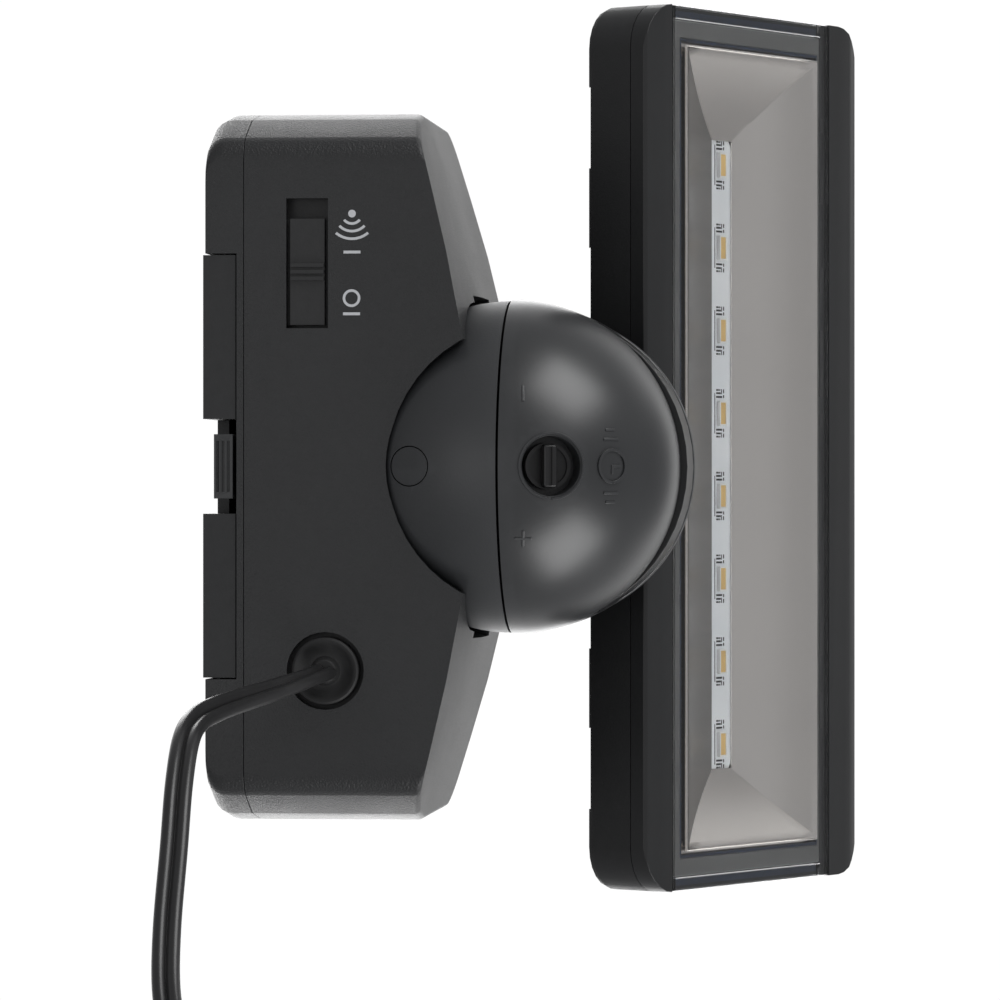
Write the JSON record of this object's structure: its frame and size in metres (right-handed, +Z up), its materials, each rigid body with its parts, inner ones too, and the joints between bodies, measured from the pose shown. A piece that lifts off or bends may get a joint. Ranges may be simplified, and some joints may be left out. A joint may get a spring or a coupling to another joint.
{
  "type": "solar flood light",
  "caption": "Wall flood light with a tilting strip-lamp head, a panning motion-sensor dome, a battery housing with a slide switch, a slide-on bracket and a lead for a separate panel.",
  "frame": {"origin": "centre of the wall bracket's back face, on the wall", "axes": "+Z up as the light hangs on a wall, +Y into the wall, -Y towards the front, X along the lamp head"},
  "size_m": [0.3121, 0.1326, 0.388],
  "materials": {
    "housing_black": "fine grained",
    "cover_black": "fine grained",
    "steel": "zinc plated",
    "rubber_black": "matt",
    "bracket_black": "matt",
    "cell_wrap": "shrink sleeve",
    "inner_plastic": "matt",
    "circuit_board": "solder mask",
    "slider_black": "matt",
    "turret_black": "semi-gloss",
    "sensor_lens": "dark lens",
    "knob_black": "satin",
    "felt": "felt",
    "head_black": "fine grained",
    "bezel_black": "satin",
    "clear_window": "clear",
    "reflector_metal": "warm grey metallised",
    "led_board_white": "white solder mask",
    "led": "yellow phosphor",
    "cable_black": "satin",
    "tie_black": "matt",
    "nickel": "nickel plated"
  },
  "bodies": {
    "base": {"front_housing": "housing_black", "rear_cover": "cover_black", "cover_screw_1": "steel", "cover_screw_2": "steel", "cover_screw_3": "steel", "cover_screw_4": "steel", "housing_seal": "rubber_black", "cable_grommet": "rubber_black", "plug_relief": "rubber_black", "plug_body": "rubber_black", "wall_bracket": "bracket_black", "battery_cell_1": "cell_wrap", "battery_cell_2": "cell_wrap", "battery_cell_3": "cell_wrap", "battery_holder": "inner_plastic", "switch_body": "inner_plastic", "cable_clamp": "inner_plastic", "control_board": "circuit_board", "cable_lead": "cable_black", "cable_tail": "cable_black", "cable_coil": "cable_black", "cable_tie": "tie_black", "plug_barrel": "nickel"},
    "turret": {"turret_front_shell": "turret_black", "turret_rear_shell": "turret_black", "turret_plug": "turret_black", "sensor_lens": "sensor_lens", "sensor_board": "circuit_board", "motion_sensor": "steel", "time_trimmer": "inner_plastic", "turret_felt_ring": "felt", "turret_snap_ring": "steel"},
    "knob": {"time_knob": "knob_black"},
    "arm": {"swivel_arm": "housing_black", "swivel_friction_ring": "rubber_black"},
    "head": {"head_rear_shell": "head_black", "head_screw_1": "steel", "head_screw_2": "steel", "head_screw_3": "steel", "head_screw_4": "steel", "head_bezel": "bezel_black", "window": "clear_window", "window_gasket": "rubber_black", "reflector": "reflector_metal", "led_board": "led_board_white", "led_1": "led", "led_2": "led", "led_3": "led", "led_4": "led", "led_5": "led", "led_6": "led", "led_7": "led", "led_8": "led", "tilt_screw": "steel", "tilt_washer": "steel", "tilt_nut": "steel"},
    "latch": {"release_latch": "bracket_black"},
    "slider": {"switch_slider": "slider_black"}
  },
  "joints": [
    {"name": "switch_slide", "type": "slide", "parent": "base", "child": "slider", "axis": [-1, 0, 0], "range_m": [0, 0.0036]},
    {"name": "latch_press", "type": "slide", "parent": "base", "child": "latch", "axis": [0, 1, 0], "range_m": [0, 0.0016], "stiffness_N_per_m": 800},
    {"name": "turret_pan", "type": "hinge", "parent": "base", "child": "turret", "pos_m": [0, -0.0631, 0], "axis": [0, 0, 1], "range_deg": [-50, 50]},
    {"name": "time_knob_turn", "type": "hinge", "parent": "turret", "child": "knob", "pos_m": [0, -0.0631, -0.0045], "axis": [0, -0.319, -0.9478], "range_deg": [-135, 135]},
    {"name": "head_swivel", "type": "hinge", "parent": "base", "child": "arm", "pos_m": [0, -0.0631, 0], "axis": [0, 0, 1], "range_deg": [-15, 15]},
    {"name": "head_tilt", "type": "hinge", "parent": "arm", "child": "head", "pos_m": [0, -0.066, 0.062], "axis": [1, 0, 0], "range_deg": [-70, 0]}
  ]
}
